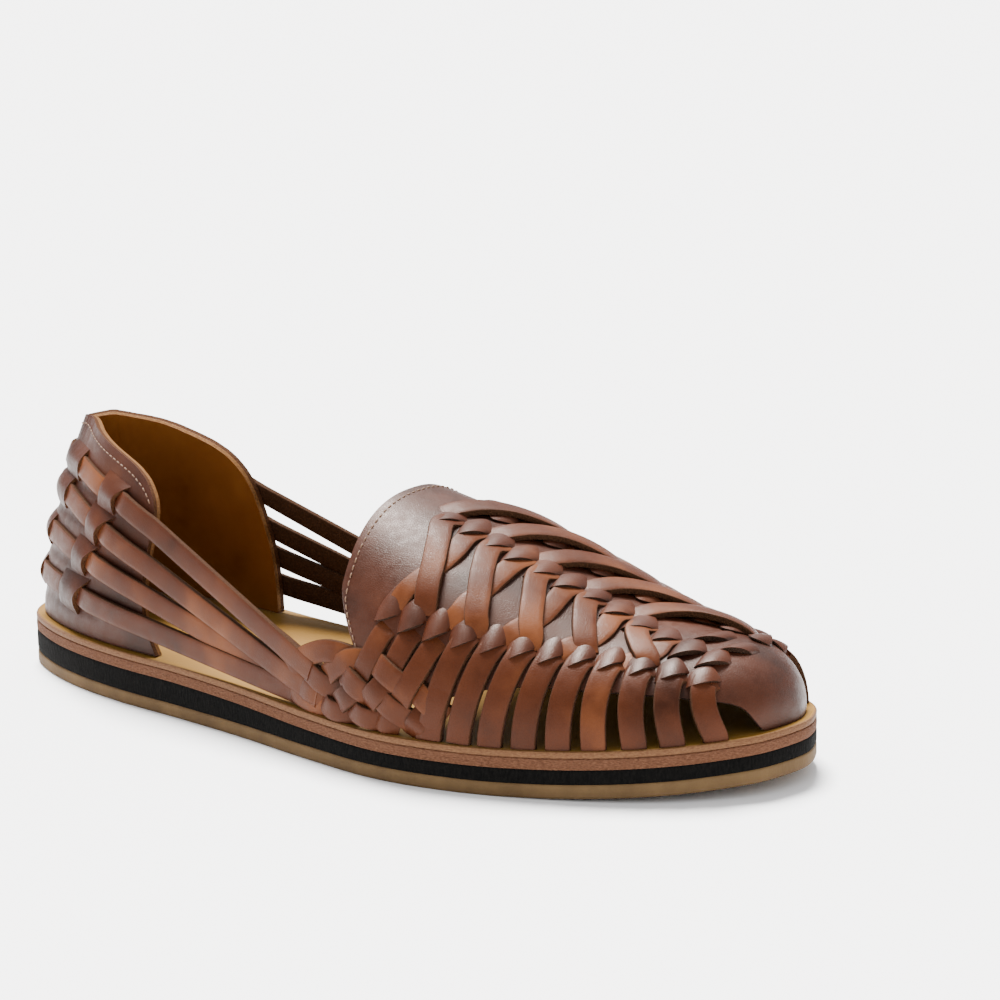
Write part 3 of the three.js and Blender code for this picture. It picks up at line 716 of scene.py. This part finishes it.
DIAGONAL = [
    [(192.8, 83, -1.0), (192.6, 76, 0.15), (193.6, 67, 0.15), (192.4, 58, -0.6), (189.6, 49, 0.15),
     (187.6, 43, 0.3), (186, 37, -0.8)],
    [(209.2, 83, -1.0), (208.8, 75, 0.15), (208.8, 66, 0.15), (208, 57, -0.6), (206.4, 49.5, 0.15),
     (205.6, 43.5, 0.3), (203.6, 38, -0.8)],
    [(224.8, 83, -1.0), (224.4, 76, 0.15), (225.4, 66, 0.15), (225.2, 58, -0.6), (223, 50, 0.15),
     (221.8, 46, 0.3), (220.2, 41, -0.8)],
    [(240.6, 83, -1.0), (240, 76, 0.15), (241.4, 66, 0.15), (240.4, 57, -0.5), (237.4, 50, 0.2),
     (235.4, 45, -0.8)],
    [(258, 79, -1.0), (257.6, 71, 0.15), (258, 64, -0.3), (256.4, 57, -0.3), (252.4, 50, -0.8)]]
FEET = [(204, 16), (213, 16), (222.4, 16), (232.2, 16), (241.9, 16), (251.5, 16.4), (261.8, 17),
        (270.9, 17.5), (280.2, 18)]

for k, s in enumerate((180.7, 197.5, 213.1, 227.9, 243.5)):
    over = [(s - 2, 84, -1.2), (s + 1.6, 89.6, 1.0), (s + 9, 99, 2.3), (s + 17, 104.5, 2.5),
            (s + 24, 110, 1.2),
            (s + 28, 114, -1.0)]
    ribbon(straps, over, width=7.4 - 0.2 * k, tint=0.5 + 0.08 * (k % 2))
for side in (0, 1):
    for k, path in enumerate(STEEP):
        ribbon(straps, path, side=side, tint=0.62 + 0.1 * (k % 3))
    for k, path in enumerate(DIAGONAL):
        ribbon(straps, path, side=side, width=6.8, tint=0.66 + 0.1 * ((k + 1) % 3))
    for k in range(3, 12):
        (s0, a0), (s1, a1) = LOWER_SLITS[k]
        s, a = (s0 + s1) / 2, (a0 + a1) / 2
        foot = FEET[k - 3][0]
        path = [(s + 1.6, a + 6, -1.2), (s + 0.3, a, 0.2), (s + (foot - s) * 0.35, a * 0.6, 0.8),
                (s + (foot - s) * 0.7, a * 0.28, 0.8), (foot, 1.2, 0.6)]
        ribbon(straps, path, side=side, width=7.6, thickness=2.4, tint=0.42 + 0.06 * (k % 3), sink=1.5)
lacing = straps.build('lacing_straps', strap_hide)
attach(lacing, 'root')
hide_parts('upper')


# ---- Side braid ------------------------------------------------------------------------------
# At the waist the rear straps and the first front straps are woven into a flat braid on
# each side. The pieces run forward and down, or back and down, each over one and under one.

braid_parts = Shell()
BRAID = [  # station and height above the floor along each visible piece, its width, its level
    ([(139, 33.5), (144, 33), (150, 31), (155, 28.8), (159, 26.6)], 6.8, 1),       # first rear strap
    ([(138, 31), (146, 28.2), (153.6, 25.1), (158, 23.2)], 6.4, 1),    # second rear strap
    ([(172.5, 34.9), (168, 35.6), (163, 35.2), (157, 33), (151.4, 30), (147, 27.6)], 6.2, 2),
    ([(179.5, 35.2), (174, 34.4), (169.4, 32), (165, 28.6), (162, 26)], 6.2, 1),
    ([(153.5, 29.2), (157.5, 27.8), (163, 25.4), (169, 23.4)], 6.4, 2),
    ([(150.5, 24.6), (155, 22.2), (160, 21.2), (164, 20)], 5.6, 2),
    ([(170.4, 31.2), (174, 29), (179, 26.4), (183, 24.4)], 6.4, 2),
    ([(182.6, 35.8), (187, 33.8), (192.4, 30.9), (196.4, 28.6)], 6.6, 2),
    ([(179.8, 29), (175.4, 24.6), (171.4, 21.6), (168, 19)], 6.4, 2),
    ([(191, 32.6), (187, 28.2), (183.6, 24.6), (180, 21)], 6.6, 2),
    ([(184.4, 26.6), (188.6, 24.2), (193, 21.8), (198.4, 18.6)], 6.4, 2),
    ([(146, 20.4), (150.6, 19.6), (155.4, 18.4), (161, 17.6), (165, 17.6)], 5.4, 1),
    ([(161.6, 21), (165.4, 18.8), (170, 17.9), (175.8, 18)], 5.6, 2),
    ([(173.6, 21.6), (178, 19.2), (182.6, 18.2), (187, 17.6)], 5.6, 2),
    ([(185, 19.4), (188.4, 17.6), (192.6, 16)], 5.4, 1),
    ([(196.8, 30.4), (201, 27.4), (205.6, 24), (208.6, 22)], 6.4, 1),
    ([(202.4, 23.6), (199.6, 19), (197.4, 15)], 6.2, 1)]
FRONT_STRAPS = [  # from under the lower slit, through the braid
    [(185.6, 45.6, -1.2), (184.3, 43.4, 0.2), (182.4, 38.6, 0.8), (179.8, 33, 0.8), (177, 27.6, -0.4)],
    [(194.8, 45.6, -1.2), (193.4, 43, 0.2), (192, 39, 0.8), (190, 34.2, 0.6), (187.6, 30, -0.6)],
    [(203, 43.8, -1.2), (201.4, 41, 0.2), (198.6, 34.4, 1.2), (195.2, 27.4, 1.6), (192.6, 22, 0.0)],
    [(211.4, 43.4, -1.2), (209.8, 40.4, 0.2), (207.6, 33.6, 0.8), (206, 26, 1.4), (203.6, 18, 0.9),
     (202.6, 14.6, 0.5)]]


def braid_path(rows, level):
    """Heights become angles, and the strap dips at both ends and rides highest between."""
    rows = np.array(rows, float)
    share = np.linspace(0, 1, len(rows))
    lift = -0.9 + (0.9 + 0.45 + 0.65 * level) * np.sin(np.pi * share) ** 0.5
    return np.column_stack([rows[:, 0], angle_at(rows[:, 0], rows[:, 1]), lift])


for side in (0, 1):
    for k, (rows, wide, level) in enumerate(BRAID):
        ribbon(braid_parts, braid_path(rows, level), wide + 0.9, 2.0, side=side, tint=0.4 + 0.11 * (k % 4))
    for k, rows in enumerate(FRONT_STRAPS):
        rows = np.array(rows, float)
        path = np.column_stack([rows[:, 0], angle_at(rows[:, 0], rows[:, 1]), rows[:, 2]])
        ribbon(braid_parts, path, 7.2, 1.8, side=side, tint=0.45 + 0.1 * (k % 3), sink=1.0 if k == 3 else 0)
braid = braid_parts.build('side_braid', strap_hide)
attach(braid, 'root')
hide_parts('upper')


# ---- Heel counter ------------------------------------------------------------------------------
# A tall wrap of the same hide, cut with level slits. Four straps a side weave through it,
# showing on its face as flat bars and passing under leather that bulges over them.

RING_ARC = np.concatenate([[0], np.cumsum(np.linalg.norm(np.diff(np.vstack([RING, RING[:1]]), axis=0),
                                                         axis=1))])
RING_TOTAL = RING_ARC[-1]
APART = np.abs(RING_ARC[:-1, None] - RING_ARC[None, :-1])
NEAR = np.minimum(APART, RING_TOTAL - APART) <= 30
NEAR_WEIGHT = NEAR * np.diff(RING_ARC)[None, :]
RING_LEAN = NEAR_WEIGHT @ RING_OUT / NEAR_WEIGHT.sum(1)[:, None]
RIM = catmull([(0, 66.8), (0.14, 67.6), (0.26, 68.2), (0.41, 66.6), (0.59, 64.2), (0.79, 59.9),
               (0.87, 57.2),
               (0.92, 54.6), (0.967, 50.5), (0.99, 46.5), (1, 43)], 12)
FRONT = catmull([(0, 97.5, 97), (5, 94.5, 97), (12, 91, 97), (24, 89.6, 96.5), (36, 90.4, 94.5),
                 (46, 91.2, 92.6),
                 (60, 92, 92)], 10)


def counter_surface(arc, rise, depth=0.0):
    """A point of the outline, 3 mm in, at an arc from the heel's back, negative on the lateral
    side. It leans inward by a power 1.75 of the height, more at the back than the sides."""
    arc, rise = np.broadcast_arrays(np.asarray(arc, float), np.asarray(rise, float))
    along = np.where(arc <= 0, -arc, RING_TOTAL - arc)

    def around(values):
        whole = np.vstack([values, values[:1]])
        return np.stack([np.interp(along, RING_ARC, whole[:, k]) for k in range(values.shape[1])], -1)

    outward = around(RING_OUT)
    outward /= np.linalg.norm(outward, axis=-1, keepdims=True)
    reach = np.abs(arc)
    lean = 16.6 + (11.8 - 16.6) * smooth((reach - 15) / 45)
    inward = lean * (np.maximum(rise, 0) / 60) ** 1.75
    foot = (around(RING) - outward * (MARGIN + np.asarray(depth))[..., None]
            - around(RING_LEAN) * inward[..., None])
    return np.concatenate([foot, (insole_top(foot[..., 0]) + rise)[..., None]], -1)


def counter_normal(arc, rise):
    """The cross product of the surface's two differences, pointing away from the foot."""
    arc, rise = np.broadcast_arrays(np.asarray(arc, float), np.asarray(rise, float))
    sideways = counter_surface(arc + 2, rise) - counter_surface(arc - 2, rise)
    upward = counter_surface(arc, rise + 1) - counter_surface(arc, rise - 1)
    n = np.cross(sideways, upward)
    n /= np.linalg.norm(n, axis=-1, keepdims=True)
    away = counter_surface(arc, rise) - (70, -2, 40)
    return np.where(np.sum(n * away, -1)[..., None] < 0, -n, n)


COUNTER_FACE = (counter_surface, counter_normal)
ROWS = [  # where each strap leaves the counter, and its visible bars: arcs and heights
    ((76.2, 49), (71, 45), [(61, 49.6), (50, 52), (38.5, 53.6)], 54.6),
    ((71, 38.5), (63.5, 33.2), [(56, 39), (44, 41.6), (31.5, 43.4)], 44.4),
    ((65.2, 28.2), (58.5, 23), [(49.2, 27), (36, 28.6), (21.5, 29.4)], 30.2),
    ((61, 16.5), (55, 9.5), [(42, 14.2), (30, 14.6), (18.5, 15)], 15.4)]


BACK_BARS = {54.6: 18, 44.4: 12, 30.2: 7}


def counter_sheets(outer_shell, lining_shell):
    """The outer leather and the lining, as two grids from edge to edge and from the insole to
    the rim. Between the rows of bars the outer leather sinks by half a millimetre."""
    columns, rows = 220, 90
    share = np.linspace(-1, 1, columns)[None, :]
    height = np.linspace(0, 1, rows)[:, None]
    top = np.interp(np.abs(share), RIM[:, 0], RIM[:, 1])
    rise = 0.3 + (top - 0.3) * height
    front = np.where(share < 0, np.interp(rise, FRONT[:, 0], FRONT[:, 1]),
                     np.interp(rise, FRONT[:, 0], FRONT[:, 2]))
    arc = share * front
    swell = 0 * arc
    for (high_arc, high), (low_arc, low), bars, at_back in ROWS:
        swell = swell - 0.5 * np.exp(-((rise - at_back + 6.8) / 2.0) ** 2) * smooth((72 - np.abs(arc)) / 10)
    normal = counter_normal(arc, rise)
    outer = counter_surface(arc, rise) + normal * swell[..., None]
    middle = counter_surface(arc, rise) - normal * 1.5
    inner = counter_surface(arc, rise) - normal * 2.9
    spread = np.stack(np.broadcast_arrays(arc, rise), -1)
    closed_sheet(outer_shell, outer, middle, place=spread, tint=0.36)
    closed_sheet(lining_shell, middle - normal * 0.02, inner, place=spread)


counter_parts, lining_parts = Shell(), Shell()
counter_sheets(counter_parts, lining_parts)
for side in (-1, 1):
    for (high_arc, high), (low_arc, low), bars, at_back in ROWS:
        arc, rise = bars[0][:2]
        bridge(counter_parts, (side * (low_arc - 0.9), low - 3.2), (side * (high_arc + 0.6), high + 3.0),
               (side * (arc - 1.6), rise - 6.2), (side * (arc + 1.6), rise + 6.0), rise=2.7, bow=-2.6,
               crest=0.3,
               surface=COUNTER_FACE, tint=0.36, open_top=0.5, fall=1.0)
        arc, rise = bars[2][:2]
        far = BACK_BARS.get(at_back, 4) + 0.4
        bridge(counter_parts, (side * (arc + 1.0), rise - 5.4), (side * (arc + 2.6), rise + 5.2),
               (side * far, at_back - 5.4), (side * far, at_back + 5.2), rise=2.2, bow=0.2, crest=0.2,
               surface=COUNTER_FACE, tint=0.36, open_top=0.9 if at_back in BACK_BARS else 0.2, fall=0.95)
counter_hide = hide_material('counter_hide', Cut=(0.075, 0.03, 0.012))
counter = counter_parts.build('heel_counter_hide', counter_hide)
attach(counter, 'root')
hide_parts('heel_counter')


# ---- Counter lining -----------------------------------------------------------------------------
# Smooth amber-brown lining leather, cemented inside the counter and stitched to its rim.

lining_hide = hide_material('lining_hide', 0.1, Dark=(0.105, 0.034, 0.0065), Middle=(0.165, 0.058, 0.0115),
                            Light=(0.22, 0.085, 0.019), Cut=(0.19, 0.09, 0.032))
# Only the lining's rim is raw: the sheet has 220 by 90 points on each of its two faces.
lining_raw = np.concatenate(lining_parts.layers['raw'])
lining_raw[:2 * 220 * 90] = 0
lining_parts.layers['raw'] = [lining_raw]
lining = lining_parts.build('counter_lining', lining_hide)
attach(lining, 'root')
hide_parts('heel_counter')


# ---- Rear straps -----------------------------------------------------------------------------------
# Four straps a side run from the counter to the braid, open to the air between. Each leaves
# a slit near the counter's front edge, and its bars show again further back.

rear_parts = Shell()
REAR_ENDS = [((73.5, 47), (150, 16)), ((67, 36), (152, 8)), ((62, 25.5), (152, 5.2)),
             ((58, 13), (152, 3.6))]
for side in (-1, 1):
    for k, ((arc, rise), (station, height)) in enumerate(REAR_ENDS):
        end_angle = angle_at(station, insole_top(station) + height)
        end = last_surface(station, mirrored(end_angle, side))
        end_normal = last_normal(station, mirrored(end_angle, side))
        front = np.interp(rise, FRONT[:, 0], FRONT[:, 1 if side < 0 else 2])
        start, edge = counter_surface(side * arc, rise), counter_surface(side * front, rise)
        fall = (edge[0] - start[0]) / (end[0] - start[0])
        edge_rise = start[2] + (end[2] - start[2]) * fall - insole_top(edge[0])
        share = np.array([-0.45, -0.15, 0.12, 0.4, 0.7, 1.0])
        on_arc = arc + (front + 2 - arc) * share
        on_rise = rise + (edge_rise - rise) * share
        clear = np.array([-1.2, -0.6, 1.2, 1.45, 1.45, 1.45])
        normal = counter_normal(side * on_arc, on_rise)
        points = counter_surface(side * on_arc, on_rise) + normal * clear[:, None]
        t = np.array([0.2, 0.4, 0.6, 0.8, 1.0, 1.12])[:, None]
        over = (1.7, 1.3, -0.9, -0.4)[k]
        free = points[-1] + (end + end_normal * over - points[-1]) * t
        free_normal = normal[-1] + (end_normal - normal[-1]) * np.minimum(t, 1)
        line = catmull(np.vstack([points, free]), 6)
        facing = catmull(np.vstack([normal, free_normal]), 6)
        band(rear_parts, line, facing, 7.0, 1.9, tint=0.5 + 0.08 * (k % 3))
    for k, (_, _, bars, at_back) in enumerate(ROWS):
        path = [(side * (bars[0][0] + 1.6), bars[0][1] - 0.4, -1.3), (side * bars[0][0], bars[0][1], 0.2),
                (side * bars[1][0], bars[1][1], 0.3), (side * bars[2][0], bars[2][1], 0.2),
                (side * (bars[2][0] - 1.6), bars[2][1] + 0.3, -1.3)]
        ribbon(rear_parts, path, 7.0, 1.8, surface=COUNTER_FACE, tint=0.72 - 0.05 * k)
for at_back, reach in BACK_BARS.items():
    path = [(-reach - 2, at_back, -1.3), (-reach, at_back, 0.4), (0, at_back, 0.6), (reach, at_back, 0.4),
            (reach + 2, at_back, -1.3)]
    ribbon(rear_parts, path, 7.0, 1.8, surface=COUNTER_FACE, tint=0.6)
rear = rear_parts.build('rear_straps', strap_hide)
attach(rear, 'root')
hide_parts('upper')


# ---- Stitching ---------------------------------------------------------------------------------------
# One line of light tan waxed thread round the tongue and one below the counter's rim, each
# stitch a short capsule set into the leather, about ten to the inch.

thread, tree, shader = new_material('waxed_thread', 0.6, 0.4)
shader.inputs['Base Color'].default_value = (0.12, 0.06, 0.03, 1)
stitches = Shell()


def sew(shell, line, normals, pitch=2.5, length=1.75, thick=0.26):
    """Capsules of six sides laid end to end along a line, with their ends sunk."""
    run = np.concatenate([[0], np.cumsum(np.linalg.norm(np.diff(line, axis=0), axis=1))])
    starts = np.arange(0.6, run[-1] - length, pitch)
    turn = np.arange(6) * np.pi / 3
    for start in starts:
        at = start + length * np.array([0, 0.12, 0.35, 0.65, 0.88, 1.0])
        centre = np.stack([np.interp(at, run, line[:, k]) for k in range(3)], -1)
        normal = np.stack([np.interp(at, run, normals[:, k]) for k in range(3)], -1)
        normal /= np.linalg.norm(normal, axis=1)[:, None]
        centre = centre + normal * np.array([-0.22, 0.02, 0.12, 0.12, 0.02, -0.22])[:, None]
        along = np.gradient(centre, axis=0)
        along /= np.linalg.norm(along, axis=1)[:, None]
        across = np.cross(normal, along)
        radius = thick * np.array([0.45, 0.9, 1, 1, 0.9, 0.45])[:, None, None]
        ring = centre[:, None] + radius * (across[:, None] * np.cos(turn)[None, :, None]
                                           + np.cross(along, across)[:, None] * np.sin(turn)[None, :, None])
        faces = grid_faces(6, 6, wrap=True) + [[0, 1, 2, 3, 4, 5][::-1], [30, 31, 32, 33, 34, 35]]
        if np.dot(np.cross(ring[0, 1] - ring[0, 0], ring[1, 0] - ring[0, 0]), ring[0, 0] - centre[0]) < 0:
            faces = [f[::-1] for f in faces]
        shell.add(ring, faces)


tongue_share = np.linspace(-0.99, 0.99, 300)
tongue_line = 163.2 + 1.6 * tongue_share ** 2 + 9.5 * np.clip((np.abs(tongue_share) - 0.9) / 0.1, 0,
                                                              1) ** 2 + 2.7
tongue_angle = 90 + tongue_share * (90 - np.interp(tongue_line, VAMP_EDGE[:, 0], VAMP_EDGE[:, 1]) - 1)
sew(stitches, last_surface(tongue_line, tongue_angle), last_normal(tongue_line, tongue_angle))
rim_share = np.linspace(-0.965, 0.965, 400)
rim_rise = np.interp(np.abs(rim_share), RIM[:, 0], RIM[:, 1]) - 3.0
rim_arc = rim_share * 91.5
sew(stitches, counter_surface(rim_arc, rim_rise), counter_normal(rim_arc, rim_rise))
sewn = stitches.build('stitching', thread, 60)
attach(sewn, 'root')
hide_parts('upper')


# ---- Floor, light and camera -----------------------------------------------------------------
# A pale seamless floor under an even white surround and one soft sun from the upper left
# behind, and the camera low on the lateral side looking forward along the shoe.

floor_paint, tree, shader = new_material('studio_floor', 0.9, 0.1)
shader.inputs['Base Color'].default_value = (0.93, 0.93, 0.935, 1)
floor_mesh = bpy.data.meshes.new('studio_floor')
floor_mesh.from_pydata([(-6, -6, 0), (6, -6, 0), (6, 6, 0), (-6, 6, 0)], [], [(0, 1, 2, 3)])
floor_mesh.materials.append(floor_paint)
floor = bpy.data.objects.new('studio_floor', floor_mesh)
bpy.context.scene.collection.objects.link(floor)

world = bpy.data.worlds.new('studio')
world.use_nodes = True
tree = world.node_tree
straight = add_node(tree, 'ShaderNodeLightPath').outputs['Is Camera Ray']
level = add_node(tree, 'ShaderNodeMapRange', None, _0=straight, _3=1.15, _4=5.8)
tree.links.new(level.outputs[0], tree.nodes['Background'].inputs['Strength'])
tree.nodes['Background'].inputs['Color'].default_value = (0.97, 0.98, 1.0, 1)
bpy.context.scene.world = world

key = bpy.data.lights.new('key_light', 'SUN')
key.energy = 18.0
key.angle = np.radians(24)
key.color = (1, 0.985, 0.965)
key_light = bpy.data.objects.new('key_light', key)
key_light.rotation_euler = Vector((0.38, -0.28, -1)).to_track_quat('-Z', 'Y').to_euler()
bpy.context.scene.collection.objects.link(key_light)

AZIMUTH, ELEVATION, ROLL = np.radians(36.5), np.radians(13.1), np.radians(-0.9)
DISTANCE = 1.020
right = np.array([np.cos(AZIMUTH), np.sin(AZIMUTH), 0])
up = np.array([-np.sin(AZIMUTH) * np.sin(ELEVATION), np.cos(AZIMUTH) * np.sin(ELEVATION),
               np.cos(ELEVATION)])
back = np.cross(right, up)
aim = to_frame((150, 0, 30))[0] + right * 0.0347 + up * 0.0394
turned_right = right * np.cos(ROLL) + up * np.sin(ROLL)
turned_up = up * np.cos(ROLL) - right * np.sin(ROLL)
camera_data = bpy.data.cameras.new('camera')
camera_data.sensor_width = 36.0
camera_data.lens = 115.2
camera = bpy.data.objects.new('camera', camera_data)
turn = Matrix(np.column_stack([turned_right, turned_up, back]).tolist()).to_4x4()
turn.translation = (aim + back * DISTANCE).tolist()
camera.matrix_world = turn
bpy.context.scene.collection.objects.link(camera)
bpy.context.scene.camera = camera
